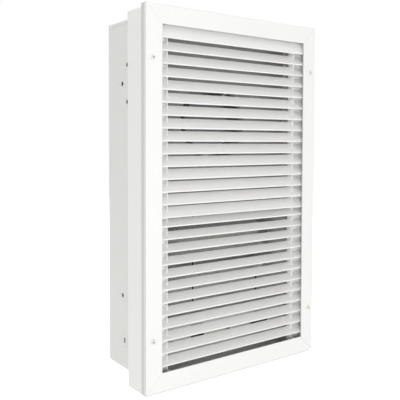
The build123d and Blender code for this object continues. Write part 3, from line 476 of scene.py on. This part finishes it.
def frame_enamel():
    """The frame's enamel: mitre lines, painted shade on the return flanges and other faces turned from the
    front, and a painted highlight along a hem.
    """
    material = enamel(
        "frame_enamel", color=(0.93, 0.93, 0.925), roughness=0.34, mottle=0.012, dust=0.03, grain=0.12
    )
    tree = material.node_tree
    seam = placed(material, MITRE_SEAM)
    seam.inputs["Half Width"].default_value = -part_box("frame_left_rail")[1][0]
    seam.inputs["Half Height"].default_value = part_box("frame_top_rail")[0][2]
    flange_shade = placed(material, PAINTED_RETURN_SHADE)
    flange_shade.inputs["Front"].default_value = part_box("frame_left_rail")[0][1]
    line = math_node(tree, "MULTIPLY", seam.outputs["Mask"], SEAM_TONE)
    # Painted shade on faces turned from the front, added to the mitre lines
    shade_and_seam = math_node(tree, "MULTIPLY_ADD", flange_shade.outputs["Mask"], RETURN_PAINTED_SHADE, line)
    # Painted highlight: less of that painted shade along the hem
    hem = math_node(tree, "MULTIPLY", flange_shade.outputs["Hem Highlight"], HEM_PAINTED_HIGHLIGHT)
    shaded(material, math_node(tree, "SUBTRACT", shade_and_seam, hem))
    return material


def welded_paint():
    """The box's paint over two rows of spot welds."""
    material = enamel("welded_paint", **BOX_PAINT)
    welds = placed(material, SPOT_WELDS)
    welds.inputs["Row"].default_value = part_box("box_back")[1][0] - WELD_FROM_EDGE
    shaded(material, math_node(material.node_tree, "MULTIPLY", welds.outputs["Rim"], WELD_TONE))
    return material


def screw_enamel():
    """White screw heads with painted shade on the floor of the grille screws' slots."""
    material = enamel(
        "screw_enamel", color=(0.86, 0.86, 0.85), roughness=0.3, mottle=0.02, dust=0.03, grain=0.1
    )
    tree = material.node_tree
    slot_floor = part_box("panel_screws")[0][1] + SLOT_FLOOR
    place = split_xyz(tree, object_place(tree))
    off = math_node(tree, "ABSOLUTE", math_node(tree, "SUBTRACT", place["Y"], slot_floor))
    # Painted shade: the band at the slot's floor is darkened
    slot_shade = math_node(tree, "LESS_THAN", off, SLOT_SHADE_BAND)
    shaded(material, math_node(tree, "MULTIPLY", slot_shade, SLOT_SHADE_TONE))
    return material


def moulded_plastic(name, color, roughness, grain):
    """Moulded plastic with a fine grain, given as its scale."""
    material, shader = fresh_material(name)
    coat = coated(material, shader, color, roughness, PLASTIC_MOTTLE)
    coat.inputs["Grain"].default_value = grain
    material.node_tree.links.new(coat.outputs["Color"], shader.inputs["Base Color"])
    bump(material, shader, coat.outputs["Height"], PLASTIC_BUMP, PAINT_GRAIN_HEIGHT)
    return material


def galvanised():
    """Zinc coated sheet."""
    material, shader = fresh_material("galvanised_sheet")
    links = material.node_tree.links
    zinc = placed(material, ZINC_SPANGLE)
    links.new(zinc.outputs["Color"], shader.inputs["Base Color"])
    links.new(zinc.outputs["Roughness"], shader.inputs["Roughness"])
    shader.inputs["Metallic"].default_value = ZINC_METALLIC
    return material


def worked_metal(name, color, roughness):
    """Bare metal with the streaks of rolling or turning."""
    material, shader = fresh_material(name)
    links = material.node_tree.links
    metal = placed(material, BRUSHED_METAL)
    metal.inputs["Color"].default_value = (*color, 1)
    metal.inputs["Roughness"].default_value = roughness
    links.new(metal.outputs["Color"], shader.inputs["Base Color"])
    links.new(metal.outputs["Roughness"], shader.inputs["Roughness"])
    shader.inputs["Metallic"].default_value = STEEL_METALLIC
    bump(material, shader, metal.outputs["Height"], BRUSH_BUMP, BRUSH_HEIGHT)
    return material


def dress(names, material):
    """One material on every named CAD node."""
    for name in names:
        mesh = nodes[name].data
        mesh.materials.clear()
        mesh.materials.append(material)


def named(*starts):
    """CAD nodes whose names begin with any of these."""
    return [name for name in nodes if name.startswith(starts)]


POWDER_COAT = powder_coat_group()
ZINC_SPANGLE = spangle_group()
BRUSHED_METAL = brushed_group()
SETTLED_DUST = dust_group()
MITRE_SEAM = mitre_group()
PAINTED_RETURN_SHADE = painted_return_shade_group()
SPOT_WELDS = weld_group()

dress(named("frame_"), frame_enamel())
dress(named("upper_blade", "lower_blade", "blade_end"), enamel(
    "white_enamel", color=(0.94, 0.94, 0.93), roughness=0.28, mottle=0.012, dust=0.03, grain=0.12))
dress(named("sleeve_"), enamel(
    "sleeve_enamel", color=(0.83, 0.83, 0.82), roughness=0.38, mottle=0.015, dust=0.04, grain=0.14))
dress(named("box_"), enamel("box_paint", **BOX_PAINT))
dress(["box_back"], welded_paint())
dress(["fan_deck"], enamel(
    "grey_enamel", color=(0.42, 0.425, 0.42), roughness=0.4, mottle=0.15, dust=0.1, grain=0.2))
dress(["control_panel"], enamel(
    "panel_enamel", color=(0.84, 0.845, 0.82), roughness=0.4, mottle=0.06, dust=0.1, grain=0.2))
dress(["heating_elements"], enamel(
    "element_coating", color=(0.8, 0.81, 0.78), roughness=0.45, mottle=0.1, dust=0.1, grain=0.2))
dress(["panel_screws"], screw_enamel())
dress(["fan_wheel", "element_brackets", "cable_clamp"], galvanised())
dress(["motor_stator", "motor_rotor"], worked_metal(
    "motor_steel", color=(0.3, 0.3, 0.32), roughness=0.32))
dress(["motor_bearings"], worked_metal("bearing_bronze", color=(0.55, 0.36, 0.16), roughness=0.3))
dress(["thermostat_body", "cutout_body", "switch_body"], moulded_plastic(
    "black_plastic", color=(0.02, 0.02, 0.023), roughness=0.45, grain=700))
dress(["thermostat_knob"], moulded_plastic(
    "knob_plastic", color=(0.05, 0.05, 0.055), roughness=0.35, grain=900))
dress(["switch_rocker"], moulded_plastic(
    "rocker_plastic", color=(0.03, 0.03, 0.033), roughness=0.2, grain=900))
dress(["reset_button"], moulded_plastic(
    "button_plastic", color=(0.35, 0.35, 0.34), roughness=0.25, grain=900))
dress(["terminal_block"], moulded_plastic(
    "terminal_plastic", color=(0.85, 0.84, 0.8), roughness=0.4, grain=700))
dress(["wiring_leads"], moulded_plastic(
    "lead_insulation", color=(0.03, 0.03, 0.032), roughness=0.4, grain=600))

bpy.context.scene.view_settings.view_transform = "Standard"
camera()
studio()
floor()
